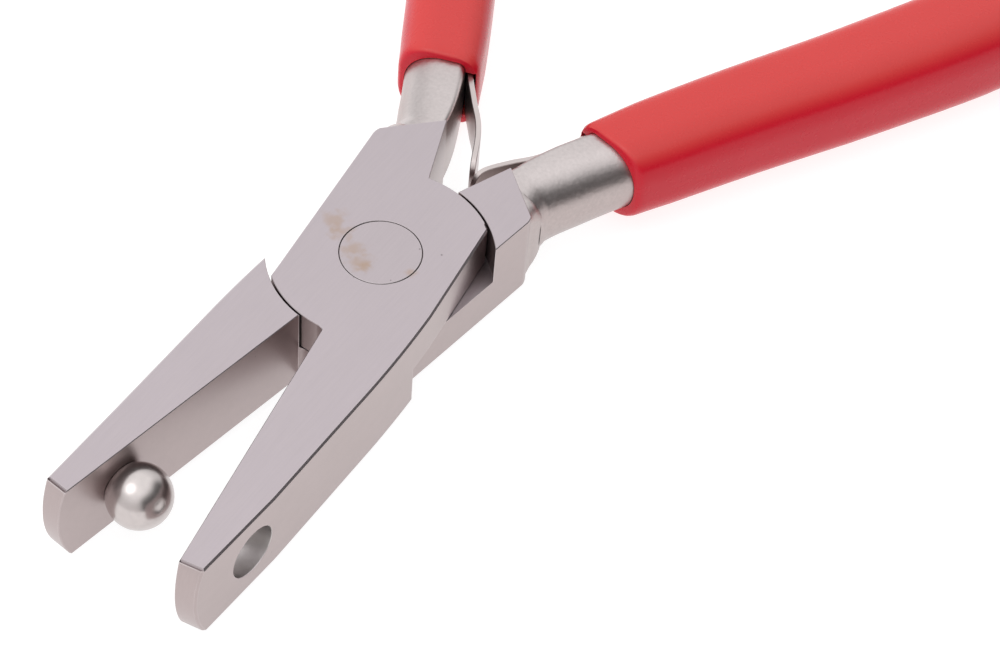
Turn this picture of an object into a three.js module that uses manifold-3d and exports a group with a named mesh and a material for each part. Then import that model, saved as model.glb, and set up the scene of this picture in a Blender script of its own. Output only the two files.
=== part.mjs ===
// Ball-and-hole dimpling pliers with a lap joint, two leaf springs and dipped grips. Millimetres, +Z up.
// The pivot axis is +Z through the origin, the underside of the joint is z = 0, the jaws point to -Y and
// the handles to +Y. The pliers stand open, as their springs hold them.
import * as THREE from 'three';
import { mergeVertices } from 'three/addons/utils/BufferGeometryUtils.js';
import Module from 'manifold-3d';

const wasm = await Module();
wasm.setup();

// ---------------------------------------------------------------- driving sizes
// Each arm is drawn with its middle line on the Y axis, its jaw on the +X side and its handle on the -X side.
const CLEARANCE = 0.3; // gap between pieces that touch or slide on each other
const THICKNESS = 9.7; // of both forged arms
const BLOCK_HALF_WIDTH = 8.05; // of the joint block
const DISC_RADIUS = 11.1; // round ends of each lap half
const SHOULDER_RELIEF = 0.05; // extra gap round each disc
const RIVET_DIAMETER = 8.2;
const OPENING = 15.2; // degrees between the two arms as the springs hold them

const JAW_REACH = 41.4; // pivot axis to the top and bottom edges of the jaw tips
const TIP_WIDTH = 2.45;
const TIP_BULGE = 1.15; // how far the tip bows out between those edges
const JAW_CHEEK = { x: 5.05, setback: 10.1 }; // a point on the outer side of the jaw, measured from the tip
const JAW_SHOULDER = { x: 7.0, y: -16.8 }; // where that side begins to round into the block
const JAW_ROOT_Y = -5; // where the rounding ends
const JAW_ROOT_HOLLOW = 0.25; // how far the rounding stays inside the block's side
const DIE_FACE = { heel: -0.5, tip: 0.75 }; // inner jaw faces, from the arm's middle line
const BALL_FACE = { heel: 0.35, tip: 1.3 };
const HEEL_LEDGE = 0.6; // small step between the lap disc and the inner jaw face

const WORK_SETBACK = 6.7; // jaw tip to the ball and to the hole
const BALL_DIAMETER = 6.5;
const BALL_STANDOFF = 2.3; // centre of the ball in front of its jaw face
const STEM_DIAMETER = 3.2;
const RIM_OVERLAP = 0.5; // how far the ball is wider than the hole, all round
const HOLE_LEAD_IN = 0.4; // chamfer of the hole on the inner jaw face

const BLOCK_END = 14.9; // where the ground block ends on its outer side
const BLOCK_CORNER = 0.9; // radius there
const HANDLE_INNER = { start: -0.2, x: -2.2, y: 19.4 }; // inner edge of the block, up to its end
const HANDLE_PATH = [
  [-3.7, 13.5],
  [-4.8, 18.3],
  [-6.1, 23],
  [-7.7, 28],
  [-12.3, 40.5],
  [-19.2, 57.5],
  [-25.4, 75],
  [-29.4, 91],
  [-31, 107],
];
// Handle sections inside the grip. `relief` is how far each stands below the block's flats.
const SHANK = { width: 5.3, relief: 0.2 }; // where it leaves the block
const TANG = { width: 6.4, relief: 0.65 }; // where it enters the grip
const TANG_END = { width: 5, relief: 1.35 };
const SHANK_LENGTH = 14; // along the handle, until the shank has the tang's size

const GRIP_WALL = 0.8;
const GRIP_SWELL = 1.2; // extra wall in the palm
const PALM_SETBACK = 20; // from the end of the handle to where the grip is thickest
const GRIP_MOUTH = { x: -6.7, y: 26.7 };
const GRIP_MOUTH_SLANT = 13.8; // degrees between the mouth and a line square to the arm
const GRIP_END_COVER = 4; // grip beyond the end of the tang
const GRIP_END_ROUND = 6; // length of the rounded end

const LEAF_THICKNESS = 0.6;
const LEAF_ROOT_WIDTH = 6.6;
const LEAF_TIP_WIDTH = 5;
const LEAF_ROOM = 0.9; // room for the leaf between the tang and the grip
const LEAF_RIVET_Y = 35; // where the leaf is riveted to the tang
const LEAF_STUB = 2.4; // of the leaf beyond its rivet
const LEAF_SEAT = 0.5; // how deep the tang is milled for the leaf's root
const LEAF_RIVET = { shaft: 1.6, head: 2.8, crown: 2, headHeight: 0.5, depth: 2.4 };
// Points of each leaf between its rivet and its tip: [y on the handle's path, distance in front of the tang].
const DIE_LEAF = [[31, 0.35], [27.5, 0.6], [24, 1.6], [20.5, 2.9]];
const BALL_LEAF = [[31, 0.35], [27.5, 0.6], [23.6, 0.65], [21, 1.1], [18.6, 2.1]];
const LEAF_MEET = 16.9; // pivot axis to where the leaves press on each other
// Leaf tips, measured from that point along and aside of the line between the arms.
const DIE_LEAF_TIP = [{ along: 0, aside: 0.1 }];
const BALL_LEAF_TIP = [{ along: 0, aside: 0.9 }, { along: -1.1, aside: 0.55 }];

// How finely the pieces are drawn, and how square their sections are: 2 is round, larger is squarer.
const ROUND_SEGMENTS = 32;
const TANG_DRAWING = { steps: 28, points: 20, power: 2.6 };
const GRIP_DRAWING = { steps: 36, points: 20, power: 2.2 };
const LEAF_DRAWING = { steps: 12, points: 12, power: 8 };
const PAST = 1; // how far a cutter reaches past what it cuts
const DEGREE = Math.PI / 180;

const STEEL = new THREE.MeshStandardMaterial({ color: 0xc4bac0, roughness: 0.38, metalness: 0.9 });
const POLISHED = new THREE.MeshStandardMaterial({ color: 0xd8d4d2, roughness: 0.12, metalness: 1 });
const SPRING_STEEL = new THREE.MeshStandardMaterial({ color: 0xbdb2b0, roughness: 0.3, metalness: 0.9 });
const RED_VINYL = new THREE.MeshStandardMaterial({ color: 0xd6383f, roughness: 0.32, metalness: 0 });

// ---------------------------------------------------------------- sizes that follow
const middleHeight = THICKNESS / 2;
const shoulderRadius = DISC_RADIUS + CLEARANCE + SHOULDER_RELIEF;
const ballRadius = BALL_DIAMETER / 2;
const holeRadius = ballRadius - RIM_OVERLAP;
const seatedStandoff = Math.sqrt(ballRadius ** 2 - holeRadius ** 2);
const workReach = JAW_REACH - WORK_SETBACK;
const cheekReach = JAW_REACH - JAW_CHEEK.setback;
const farAway = 4 * JAW_REACH; // beyond every piece
const leafStandoff = CLEARANCE + LEAF_THICKNESS / 2;

// ---------------------------------------------------------------- solids
const mix = THREE.MathUtils.lerp;

function raise(point, z) {
  return new THREE.Vector3(point.x, point.y, z);
}

function toSolid(geometry) {
  const bare = geometry.clone();
  bare.deleteAttribute('normal');
  bare.deleteAttribute('uv');
  const merged = mergeVertices(bare, 1e-5);
  return new wasm.Manifold(new wasm.Mesh({
    numProp: 3,
    vertProperties: new Float32Array(merged.attributes.position.array),
    triVerts: new Uint32Array(merged.index.array),
  }));
}

function toGeometry(solid) {
  const mesh = solid.getMesh();
  const geometry = new THREE.BufferGeometry();
  geometry.setAttribute('position', new THREE.BufferAttribute(new Float32Array(mesh.vertProperties), 3));
  geometry.setIndex(new THREE.BufferAttribute(new Uint32Array(mesh.triVerts), 1));
  geometry.computeVertexNormals();
  return geometry;
}

function reverseFaces(geometry) {
  const index = geometry.index.array;
  for (let i = 0; i < index.length; i += 3) {
    [index[i], index[i + 1]] = [index[i + 1], index[i]];
  }
  return geometry;
}

function plate(shape, bottom, top) {
  const options = { depth: top - bottom, bevelEnabled: false, curveSegments: ROUND_SEGMENTS / 2 };
  return toSolid(new THREE.ExtrudeGeometry(shape, options).translate(0, 0, bottom));
}

// The turn that takes +Y to a direction.
function turnFromY(direction) {
  return new THREE.Quaternion().setFromUnitVectors(new THREE.Vector3(0, 1, 0), direction);
}

// A round bar or cone from `start` to `end`.
function roundBar(start, end, startRadius, endRadius = startRadius) {
  const axis = end.clone().sub(start);
  const bar = new THREE.CylinderGeometry(endRadius, startRadius, axis.length(), ROUND_SEGMENTS);
  const turn = turnFromY(axis.clone().normalize());
  const middle = start.clone().add(end).multiplyScalar(0.5);
  return toSolid(bar.applyQuaternion(turn).translate(middle.x, middle.y, middle.z));
}

function uprightBar(radius, bottom, top) {
  return roundBar(new THREE.Vector3(0, 0, bottom), new THREE.Vector3(0, 0, top), radius);
}

// A rounded section of one unit each way.
function sectionOutline({ points, power }) {
  const outline = [];
  for (let i = 0; i < points; i += 1) {
    const angle = ((i + 0.5) / points) * 2 * Math.PI;
    const [c, s] = [Math.cos(angle), Math.sin(angle)];
    const reach = (Math.abs(c) ** power + Math.abs(s) ** power) ** (-1 / power);
    outline.push(new THREE.Vector2(c * reach, s * reach));
  }
  return new THREE.Shape(outline);
}

// A bar along a curve, centred on the middle height, between two distances. `edges(distance)` gives how far
// the section reaches to the left and right of the curve and how high it is.
function curvedBar(curve, from, to, drawing, edges) {
  const options = { steps: drawing.steps, depth: 1, bevelEnabled: false };
  const unit = new THREE.ExtrudeGeometry(sectionOutline(drawing), options);
  const merged = mergeVertices(unit.deleteAttribute('normal').deleteAttribute('uv'), 1e-5);
  const position = merged.attributes.position;
  const length = curve.getLength();
  for (let i = 0; i < position.count; i += 1) {
    const distance = mix(from, to, position.getZ(i));
    const station = Math.min(distance / length, 1);
    const centre = curve.getPointAt(station);
    const along = curve.getTangentAt(station);
    const { left, right, height } = edges(distance);
    const across = (right - left) / 2 + (position.getX(i) * (left + right)) / 2;
    const up = (position.getY(i) * height) / 2;
    position.setXYZ(i, centre.x + along.y * across, centre.y - along.x * across, middleHeight + up);
  }
  return toSolid(reverseFaces(merged));
}

// ---------------------------------------------------------------- places that several pieces share
const handleCurve = new THREE.CatmullRomCurve3(
  HANDLE_PATH.map(([x, y]) => new THREE.Vector3(x, y, 0)),
  false,
  'centripetal',
);
const handleLength = handleCurve.getLength();
const tangLength = handleLength - GRIP_END_COVER;

// Distance along the handle to where its curve reaches a given y.
function handleDistance(y) {
  let low = 0;
  let high = 1;
  for (let i = 0; i < 40; i += 1) {
    const middle = (low + high) / 2;
    if (handleCurve.getPointAt(middle).y < y) {
      low = middle;
    } else {
      high = middle;
    }
  }
  return low * handleLength;
}

function tangSize(distance) {
  const neck = THREE.MathUtils.smoothstep(distance, 0, SHANK_LENGTH);
  const taper = THREE.MathUtils.clamp((distance - SHANK_LENGTH) / (tangLength - SHANK_LENGTH), 0, 1);
  const relief = mix(mix(SHANK.relief, TANG.relief, neck), TANG_END.relief, taper);
  return {
    width: mix(mix(SHANK.width, TANG.width, neck), TANG_END.width, taper),
    height: THICKNESS - 2 * relief,
  };
}

// The direction straight out of the tang's inner side.
function outOfTang(distance) {
  const along = handleCurve.getTangentAt(distance / handleLength);
  return new THREE.Vector3(along.y, -along.x, 0);
}

// A point in front of the tang's inner side, at the station where the handle's path has this y.
function beforeTang(y, standoff) {
  const distance = handleDistance(y);
  const centre = handleCurve.getPointAt(distance / handleLength);
  return centre.addScaledVector(outOfTang(distance), tangSize(distance).width / 2 + standoff);
}

// The inner jaw face as a line with its outward normal.
function jawFace(face) {
  const heel = new THREE.Vector2(face.heel, -shoulderRadius);
  const tip = new THREE.Vector2(face.tip, -JAW_REACH);
  const along = tip.clone().sub(heel).normalize();
  return { heel, tip, along, normal: new THREE.Vector2(along.y, -along.x) };
}

// The point of that face in front of which, at this standoff, something is as far out as the ball.
function workPoint(face, standoff) {
  const { heel, along, normal } = jawFace(face);
  const start = heel.clone().addScaledVector(normal, standoff);
  const run = start.dot(along);
  const travel = -run + Math.sqrt(run ** 2 - start.lengthSq() + workReach ** 2);
  return heel.clone().addScaledVector(along, travel);
}

// ---------------------------------------------------------------- leaf springs
// The leaf's middle line, the same line for the room it needs, and the place of its rivet.
function leafPlan(points, tip) {
  const halfOpening = (OPENING / 2) * DEGREE;
  const between = new THREE.Vector3(Math.sin(halfOpening), Math.cos(halfOpening), 0);
  const aside = new THREE.Vector3(-between.y, between.x, 0);
  const rivet = beforeTang(LEAF_RIVET_Y, leafStandoff - LEAF_SEAT);
  const stub = (extra) => beforeTang(LEAF_RIVET_Y + LEAF_STUB + extra, leafStandoff - LEAF_SEAT);
  const middle = points.map(([y, gap]) => beforeTang(y, gap));
  const tips = tip.map((end) => (
    between.clone().multiplyScalar(LEAF_MEET + end.along).addScaledVector(aside, end.aside)
  ));
  const line = (extra) => (
    new THREE.CatmullRomCurve3([stub(extra), rivet, ...middle, ...tips], false, 'centripetal')
  );
  return { blade: line(0), room: line(CLEARANCE), rivet };
}

function leafSolid(curve, grow, inward) {
  const length = curve.getLength();
  return curvedBar(curve, 0, length, LEAF_DRAWING, (distance) => ({
    left: LEAF_THICKNESS / 2 + grow,
    right: LEAF_THICKNESS / 2 + inward,
    height: mix(LEAF_ROOT_WIDTH, LEAF_TIP_WIDTH, distance / length) + 2 * grow,
  }));
}

// The rivet's axis runs from the tang out through the leaf. `point(reach)` is on it, from the leaf's middle.
function rivetAxis({ rivet }) {
  const outward = outOfTang(handleDistance(LEAF_RIVET_Y));
  const headStart = LEAF_THICKNESS / 2 + CLEARANCE;
  return {
    point: (reach) => raise(rivet, middleHeight).addScaledVector(outward, reach),
    headStart,
    headEnd: headStart + LEAF_RIVET.headHeight,
    foot: -LEAF_RIVET.depth,
  };
}

function leafRivet(leaf) {
  const { point, headStart, headEnd, foot } = rivetAxis(leaf);
  const shaft = roundBar(point(foot), point(headEnd), LEAF_RIVET.shaft / 2);
  return shaft.add(roundBar(point(headStart), point(headEnd), LEAF_RIVET.head / 2, LEAF_RIVET.crown / 2));
}

function rivetHole(leaf) {
  const { point, headEnd, foot } = rivetAxis(leaf);
  return roundBar(point(foot - CLEARANCE), point(headEnd), LEAF_RIVET.shaft / 2 + CLEARANCE);
}

function rivetHeadRoom(leaf) {
  const { point, headStart, headEnd } = rivetAxis(leaf);
  const radius = LEAF_RIVET.head / 2 + CLEARANCE;
  return roundBar(point(headStart - 2 * CLEARANCE), point(headEnd + CLEARANCE), radius);
}

// ---------------------------------------------------------------- forged arms
function discAngle(x, side) {
  return Math.atan2(side * Math.sqrt(DISC_RADIUS ** 2 - x ** 2), x);
}

function armOutline(face) {
  const { heel, tip } = jawFace(face);
  const discEnd = Math.sqrt(DISC_RADIUS ** 2 - BLOCK_HALF_WIDTH ** 2);
  const beyond = TIP_BULGE + PAST; // the outline runs past the tip, which tipKeeper trims
  const innerSlope = (tip.x - heel.x) / (heel.y - tip.y);
  const outerTip = tip.x + TIP_WIDTH;
  const outerSlope = (JAW_CHEEK.x - outerTip) / JAW_CHEEK.setback;
  const rootMiddle = (JAW_SHOULDER.y + JAW_ROOT_Y) / 2;

  const shape = new THREE.Shape();
  shape.moveTo(tip.x + innerSlope * beyond, -JAW_REACH - beyond);
  shape.lineTo(outerTip - outerSlope * beyond, -JAW_REACH - beyond);
  shape.lineTo(JAW_CHEEK.x, -cheekReach);
  shape.lineTo(JAW_SHOULDER.x, JAW_SHOULDER.y);
  const hollowX = BLOCK_HALF_WIDTH - JAW_ROOT_HOLLOW;
  shape.quadraticCurveTo(hollowX, rootMiddle, BLOCK_HALF_WIDTH, JAW_ROOT_Y);
  shape.lineTo(BLOCK_HALF_WIDTH, discEnd);
  shape.absarc(0, 0, DISC_RADIUS, discAngle(BLOCK_HALF_WIDTH, 1), discAngle(HANDLE_INNER.start, 1), false);
  shape.lineTo(HANDLE_INNER.x, HANDLE_INNER.y);
  shape.lineTo(-BLOCK_HALF_WIDTH + BLOCK_CORNER, BLOCK_END + BLOCK_CORNER);
  const corner = new THREE.Vector2(-BLOCK_HALF_WIDTH, BLOCK_END + BLOCK_CORNER / 3);
  shape.quadraticCurveTo(corner.x, corner.y, -BLOCK_HALF_WIDTH, BLOCK_END - BLOCK_CORNER);
  shape.lineTo(-BLOCK_HALF_WIDTH, -discEnd);
  const ledgeAngle = discAngle(heel.x - HEEL_LEDGE, -1);
  shape.absarc(0, 0, DISC_RADIUS, discAngle(-BLOCK_HALF_WIDTH, -1), ledgeAngle, false);
  shape.lineTo(heel.x, heel.y);
  return shape;
}

// Everything behind the bowed tip face, seen from the side.
function tipKeeper() {
  const bow = (middleHeight ** 2 + TIP_BULGE ** 2) / (2 * TIP_BULGE);
  const centre = JAW_REACH + TIP_BULGE - bow;
  const sweep = Math.asin(middleHeight / bow);
  const side = new THREE.Shape();
  side.moveTo(-farAway, 0);
  side.lineTo(JAW_REACH, 0);
  side.absarc(centre, middleHeight, bow, -sweep, sweep, false);
  side.lineTo(-farAway, THICKNESS);
  const options = { depth: farAway, bevelEnabled: false, curveSegments: ROUND_SEGMENTS / 2 };
  const turn = new THREE.Matrix4().makeBasis(
    new THREE.Vector3(0, -1, 0),
    new THREE.Vector3(0, 0, 1),
    new THREE.Vector3(-1, 0, 0),
  );
  const block = new THREE.ExtrudeGeometry(side, options).applyMatrix4(turn);
  return toSolid(block.translate(farAway / 2, 0, 0));
}

function tang(growth, end) {
  return curvedBar(handleCurve, 0, end, TANG_DRAWING, (distance) => {
    const { width, height } = tangSize(distance);
    return { left: width / 2 + growth, right: width / 2 + growth, height: height + 2 * growth };
  });
}

function armBody(face, lapIsUpper, leaf) {
  const lapBottom = lapIsUpper ? -PAST : middleHeight - CLEARANCE / 2;
  const lapTop = lapIsUpper ? middleHeight + CLEARANCE / 2 : THICKNESS + PAST;
  return plate(armOutline(face), 0, THICKNESS)
    .intersect(tipKeeper())
    .add(tang(0, tangLength))
    .subtract(uprightBar(shoulderRadius, lapBottom, lapTop))
    .subtract(uprightBar(RIVET_DIAMETER / 2 + CLEARANCE, -PAST, THICKNESS + PAST))
    .subtract(leafSolid(leaf.room, CLEARANCE, CLEARANCE))
    .subtract(rivetHole(leaf));
}

// The hole right through the die jaw, with its lead-in.
function dieHole() {
  const { normal } = jawFace(DIE_FACE);
  const point = workPoint(DIE_FACE, seatedStandoff);
  const reach = (distance) => raise(point.clone().addScaledVector(normal, distance), middleHeight);
  const bore = roundBar(reach(-BLOCK_HALF_WIDTH), reach(PAST), holeRadius);
  return bore.add(roundBar(reach(-HOLE_LEAD_IN), reach(PAST), holeRadius, holeRadius + HOLE_LEAD_IN + PAST));
}

// ---------------------------------------------------------------- ball punch
// A ball with its stem, which ends `stemPast` outside the jaw's outer side.
function ballPunch(growth, stemPast) {
  const { normal } = jawFace(BALL_FACE);
  const centre = workPoint(BALL_FACE, BALL_STANDOFF).addScaledVector(normal, BALL_STANDOFF);
  const outward = (JAW_REACH - workReach) / JAW_CHEEK.setback;
  const cheekAtBall = mix(BALL_FACE.tip + TIP_WIDTH, JAW_CHEEK.x, outward);
  const stemLength = cheekAtBall - centre.x + stemPast;
  const radius = ballRadius + growth;
  const stemRadius = STEM_DIAMETER / 2 + growth;
  const profile = [new THREE.Vector2(0, -stemLength), new THREE.Vector2(stemRadius, -stemLength)];
  const steps = ROUND_SEGMENTS / 2;
  const start = Math.asin(stemRadius / radius);
  for (let i = 0; i <= steps; i += 1) {
    const angle = mix(start, Math.PI, i / steps);
    profile.push(new THREE.Vector2(i < steps ? radius * Math.sin(angle) : 0, -radius * Math.cos(angle)));
  }
  const lathe = new THREE.LatheGeometry(profile, ROUND_SEGMENTS).applyQuaternion(turnFromY(raise(normal, 0)));
  return toSolid(lathe.translate(centre.x, centre.y, middleHeight));
}

// ---------------------------------------------------------------- grips
// Everything on the jaw side of the grip's mouth.
function mouthCut() {
  const block = new THREE.BoxGeometry(farAway, farAway, farAway).translate(0, -farAway / 2, 0);
  block.rotateZ(-GRIP_MOUTH_SLANT * DEGREE);
  return toSolid(block.translate(GRIP_MOUTH.x, GRIP_MOUTH.y, 0));
}

function gripSkin(distance) {
  const { width, height } = tangSize(distance);
  const palmStart = handleDistance(GRIP_MOUTH.y);
  const palm = THREE.MathUtils.smoothstep(distance, palmStart, handleLength - PALM_SETBACK);
  const skin = CLEARANCE + GRIP_WALL + GRIP_SWELL * palm;
  const remaining = THREE.MathUtils.clamp((handleLength - distance) / GRIP_END_ROUND, 0.02, 1);
  const round = Math.sqrt(1 - (1 - remaining) ** 2);
  return {
    left: (width / 2 + skin) * round,
    right: (width / 2 + skin + LEAF_ROOM) * round,
    height: (height + 2 * skin) * round,
  };
}

function gripBody(leaf) {
  return curvedBar(handleCurve, SHANK_LENGTH / 2, handleLength, GRIP_DRAWING, gripSkin)
    .subtract(mouthCut())
    .subtract(tang(CLEARANCE, tangLength + CLEARANCE))
    .subtract(leafSolid(leaf.room, CLEARANCE, CLEARANCE + LEAF_SEAT))
    .subtract(rivetHeadRoom(leaf));
}

// ---------------------------------------------------------------- assembly
function addPiece(group, name, solid, material, mirrored) {
  const geometry = toGeometry(solid);
  if (mirrored) {
    geometry.scale(-1, 1, 1);
    reverseFaces(geometry);
  }
  const mesh = new THREE.Mesh(geometry, material);
  mesh.name = name;
  group.add(mesh);
}

// One half of the pliers. `work` is what the jaw has cut out of it for the ball or the hole.
function armGroup({ side, face, lapIsUpper, leafPoints, leafTip, mirrored, work }) {
  const group = new THREE.Group();
  const leaf = leafPlan(leafPoints, leafTip);
  addPiece(group, `${side}_arm`, armBody(face, lapIsUpper, leaf).subtract(work), STEEL, mirrored);
  addPiece(group, `${side}_grip`, gripBody(leaf), RED_VINYL, mirrored);
  const blade = leafSolid(leaf.blade, 0, 0).subtract(rivetHole(leaf));
  addPiece(group, `${side}_leaf_spring`, blade, SPRING_STEEL, mirrored);
  addPiece(group, `${side}_leaf_rivet`, leafRivet(leaf), SPRING_STEEL, mirrored);
  group.rotation.z = (mirrored ? -1 : 1) * (OPENING / 2) * DEGREE;
  return group;
}

const dieSide = armGroup({
  side: 'die',
  face: DIE_FACE,
  lapIsUpper: true,
  leafPoints: DIE_LEAF,
  leafTip: DIE_LEAF_TIP,
  mirrored: false,
  work: dieHole(),
});
const ballSide = armGroup({
  side: 'ball',
  face: BALL_FACE,
  lapIsUpper: false,
  leafPoints: BALL_LEAF,
  leafTip: BALL_LEAF_TIP,
  mirrored: true,
  work: ballPunch(CLEARANCE, PAST),
});
addPiece(ballSide, 'ball_punch', ballPunch(0, -CLEARANCE), POLISHED, true);

const group = new THREE.Group();
addPiece(group, 'joint_rivet', uprightBar(RIVET_DIAMETER / 2, 0, THICKNESS), STEEL, false);
group.add(dieSide, ballSide);

export default group;
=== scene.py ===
"""Ball-and-hole dimpling pliers with a lap joint, leaf springs and dipped grips."""

import math

import bmesh
import bpy
from mathutils import Matrix, Vector


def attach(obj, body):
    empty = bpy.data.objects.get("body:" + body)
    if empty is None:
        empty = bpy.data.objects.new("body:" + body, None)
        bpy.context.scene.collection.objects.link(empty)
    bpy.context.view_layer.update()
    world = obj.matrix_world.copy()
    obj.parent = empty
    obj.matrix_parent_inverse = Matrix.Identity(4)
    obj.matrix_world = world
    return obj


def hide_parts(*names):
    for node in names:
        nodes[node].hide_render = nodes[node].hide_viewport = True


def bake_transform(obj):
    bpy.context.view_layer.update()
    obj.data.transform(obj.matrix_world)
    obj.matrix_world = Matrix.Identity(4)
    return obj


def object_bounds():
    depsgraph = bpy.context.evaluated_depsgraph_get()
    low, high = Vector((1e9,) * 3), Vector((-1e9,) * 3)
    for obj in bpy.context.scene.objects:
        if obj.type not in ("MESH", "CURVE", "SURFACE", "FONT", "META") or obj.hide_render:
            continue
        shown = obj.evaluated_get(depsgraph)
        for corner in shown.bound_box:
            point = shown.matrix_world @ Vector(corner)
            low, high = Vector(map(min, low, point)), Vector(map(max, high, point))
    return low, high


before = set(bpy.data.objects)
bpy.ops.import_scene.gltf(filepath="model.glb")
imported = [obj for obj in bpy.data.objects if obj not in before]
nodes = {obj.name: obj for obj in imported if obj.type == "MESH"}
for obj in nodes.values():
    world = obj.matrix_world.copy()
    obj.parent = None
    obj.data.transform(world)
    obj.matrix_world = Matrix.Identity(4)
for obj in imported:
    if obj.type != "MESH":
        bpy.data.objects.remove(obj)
cad_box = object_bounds()

# ---------------------------------------------------------------- sizes, in millimetres
# Each half is drawn with its middle line on the Y axis, its jaw on the +X side and its handle on
# the -X side. The die half is then turned to its place, and the ball half is mirrored and turned
# the other way.
MM = 0.001
HALF_OPENING = 7.6  # degrees
THICKNESS = 9.7
MIDDLE = THICKNESS / 2
OVERRUN = 1  # how far a cutter or an outline runs past what it trims
TOUCH = 0.01  # nearer than this counts as the same place
BLOCK_HALF_WIDTH = 8.05
DISC_RADIUS = 11.2
SHOULDER_RADIUS = 11.4
LAP_GAP = 0.16
RIVET_RADIUS = 4.1
RIVET_LINE = 0.07  # hairline round the rivet
RIVET_RIM = (0.05, 0.005)  # how far its rounded rim reaches in and down
RIVET_BORE_FLARE = 0.04
SHOULDER_FLARE = 0.06
ROUND_STEPS = 160

JAW_REACH = 41.4
TIP_WIDTH = 2.45
TIP_BULGE = 1.15
JAW_CHEEK = (5.05, -31.3)
JAW_SHOULDER = (7.0, -16.8)
JAW_ROOT_Y = -5.0
FACE_HEEL = {"die": -0.5, "ball": 0.35}
FACE_TIP = {"die": 0.75, "ball": 1.3}
HEEL_LEDGE = 0.6
ROOT_LEAN = 0.25
TIP_ZONE = 0.3  # edges this near the tip belong to it
OUTER_SIDE_X = 2.9  # edges beyond this are on the jaw's outer side
OUTER_CHAMFER_END = 8.3
TIP_STEPS = 24
ROOT_STEPS = 14
DISC_STEPS = 40
CORNER_STEPS = 8

BALL_CENTRE = (-1.214, -34.679)
BALL_RADIUS = 3.25
STEM_RADIUS = 1.6
STEM_LENGTH = 9  # before it is ground off
STEM_BEVEL = 0.09
STEM_SHARP = math.radians(60)
BALL_STEPS = 48
BALL_ROOM = 0.03
HOLE_CENTRE = (0.467, -34.606)  # on the inner face of the die jaw
HOLE_RADIUS = 2.75
HOLE_LEAD_IN = 0.4
HOLE_DEPTH = 9
HOLE_RIM = 0.1
HOLE_RIM_DEPTH = 1.5  # the far rim lies deeper than this
BORE_STEPS = 128

HANDLE_INNER = (-0.2, -2.2)
BLOCK_END = {"die": ((-7.75, 15.1), (-2.2, 19.4)), "ball": ((-7.75, 13.9), (-1.9, 17.6))}
BLOCK_CORNER = 0.5
SHANK_START = {"die": 1.2, "ball": 0.0}  # how much later the first sections come
TANG_END = 93.4
TANG_ROOM = 0.05
SHANK_CUTS = 6
OUTER_CORNER_STEPS = 10
INNER_CORNER_STEPS = 6
HANDLE_PATH = ((-3.7, 13.5), (-4.8, 18.3), (-6.1, 23.0), (-7.7, 28.0), (-12.3, 40.5),
               (-19.2, 57.5), (-25.4, 75.0), (-29.4, 91.0), (-31.0, 107.0))

GRIP_MOUTH = 14.5  # along the handle's path
GRIP_SLANT = {"die": -9.0, "ball": -14.0}  # degrees
GRIP_SLANT_END = 9.0  # where the slant has gone, beyond the mouth
GRIP_OUTER_ROUNDNESS = 0.44  # share of the section's smaller side
GRIP_INNER_ROUNDNESS = 0.3
GRIP_FULLNESS = 0.54
GRIP_RING_START = 18.5
GRIP_RING_STEP = 3.0
GRIP_RING_COUNT = 25
# Distance along the path, then how far the sleeve reaches outwards, inwards and in height.
GRIP_SIZES = (
    (14.5, 3.6, 4.5, 9.2), (14.6, 3.79, 4.7, 9.58), (14.85, 3.95, 4.87, 9.9),
    (15.3, 4.04, 4.97, 10.1), (16.0, 4.06, 5.0, 10.14), (17.0, 4.09, 5.02, 10.2),
    (20, 4.2, 5.12, 10.42), (30, 4.36, 5.26, 10.74), (40, 4.51, 5.41, 11.02),
    (60, 4.87, 5.77, 11.74), (80, 4.92, 5.82, 11.82), (88, 4.85, 5.75, 11.7),
    (91.5, 4.74, 5.6, 11.4), (93.8, 4.5, 5.3, 10.8), (95.4, 3.95, 4.65, 9.5),
    (96.6, 3.05, 3.6, 7.3), (97.4, 1.95, 2.3, 4.7), (97.75, 1.0, 1.2, 2.4),
)

LEAF_THICKNESS = 0.6
LEAF_ROOT_WIDTH = 6.6
LEAF_TIP_WIDTH = 5.0
LEAF_CORNER = 1.9
LEAF_STUB = 2.4  # beyond its rivet
LEAF_HOLE = 0.9
LEAF_SLOT = 0.3  # room round the leaf inside the grip
LEAF_CUT_ROOM = 0.1  # room round the leaf in the arm
LEAF_CUTS = 40
LEAF_HOLE_STEPS = 32
LEAF_HOLE_DEPTH = 2
LEAF_LENGTH = {"die": 24.16, "ball": 24.88}
LEAF_PATH = {
    "die": ((2.14, 16.76), (0.25, 22.05), (-1.88, 25.38), (-3.94, 28.72), (-5.45, 32.19),
            (-7.19, 36.12), (-8.12, 38.53)),
    "ball": ((1.54, 15.73), (1.34, 16.87), (-0.11, 19.82), (-1.6, 22.1), (-2.68, 24.69),
             (-3.94, 28.72), (-5.45, 32.19), (-7.19, 36.12), (-8.12, 38.53)),
}
LEAF_RIVET_PLACE = (-7.19, 36.12)
LEAF_RIVET_WAY = (0.933, 0.359)
LEAF_RIVET_STEPS = 48
ARM_RIVET_ROOM = (0.95, -2.6, 2)  # radius, foot and head
GRIP_RIVET_ROOM = (1.6, -2.6, 1.35)
RIVET_BODY = "die_half"

CHAMFER = 0.07
OUTER_CHAMFER = 0.2
TIP_CHAMFER = 0.38
SHARP = math.radians(30)
FINE_SHARP = math.radians(17)


# ---------------------------------------------------------------- working on one piece
def work_on(piece, mode="EDIT"):
    bpy.ops.object.select_all(action="DESELECT")
    piece.select_set(True)
    bpy.context.view_layer.objects.active = piece
    bpy.ops.object.mode_set(mode=mode)
    if mode == "EDIT":
        bpy.ops.mesh.select_mode(type="VERT")


def leave():
    bpy.ops.object.mode_set(mode="OBJECT")


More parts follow.
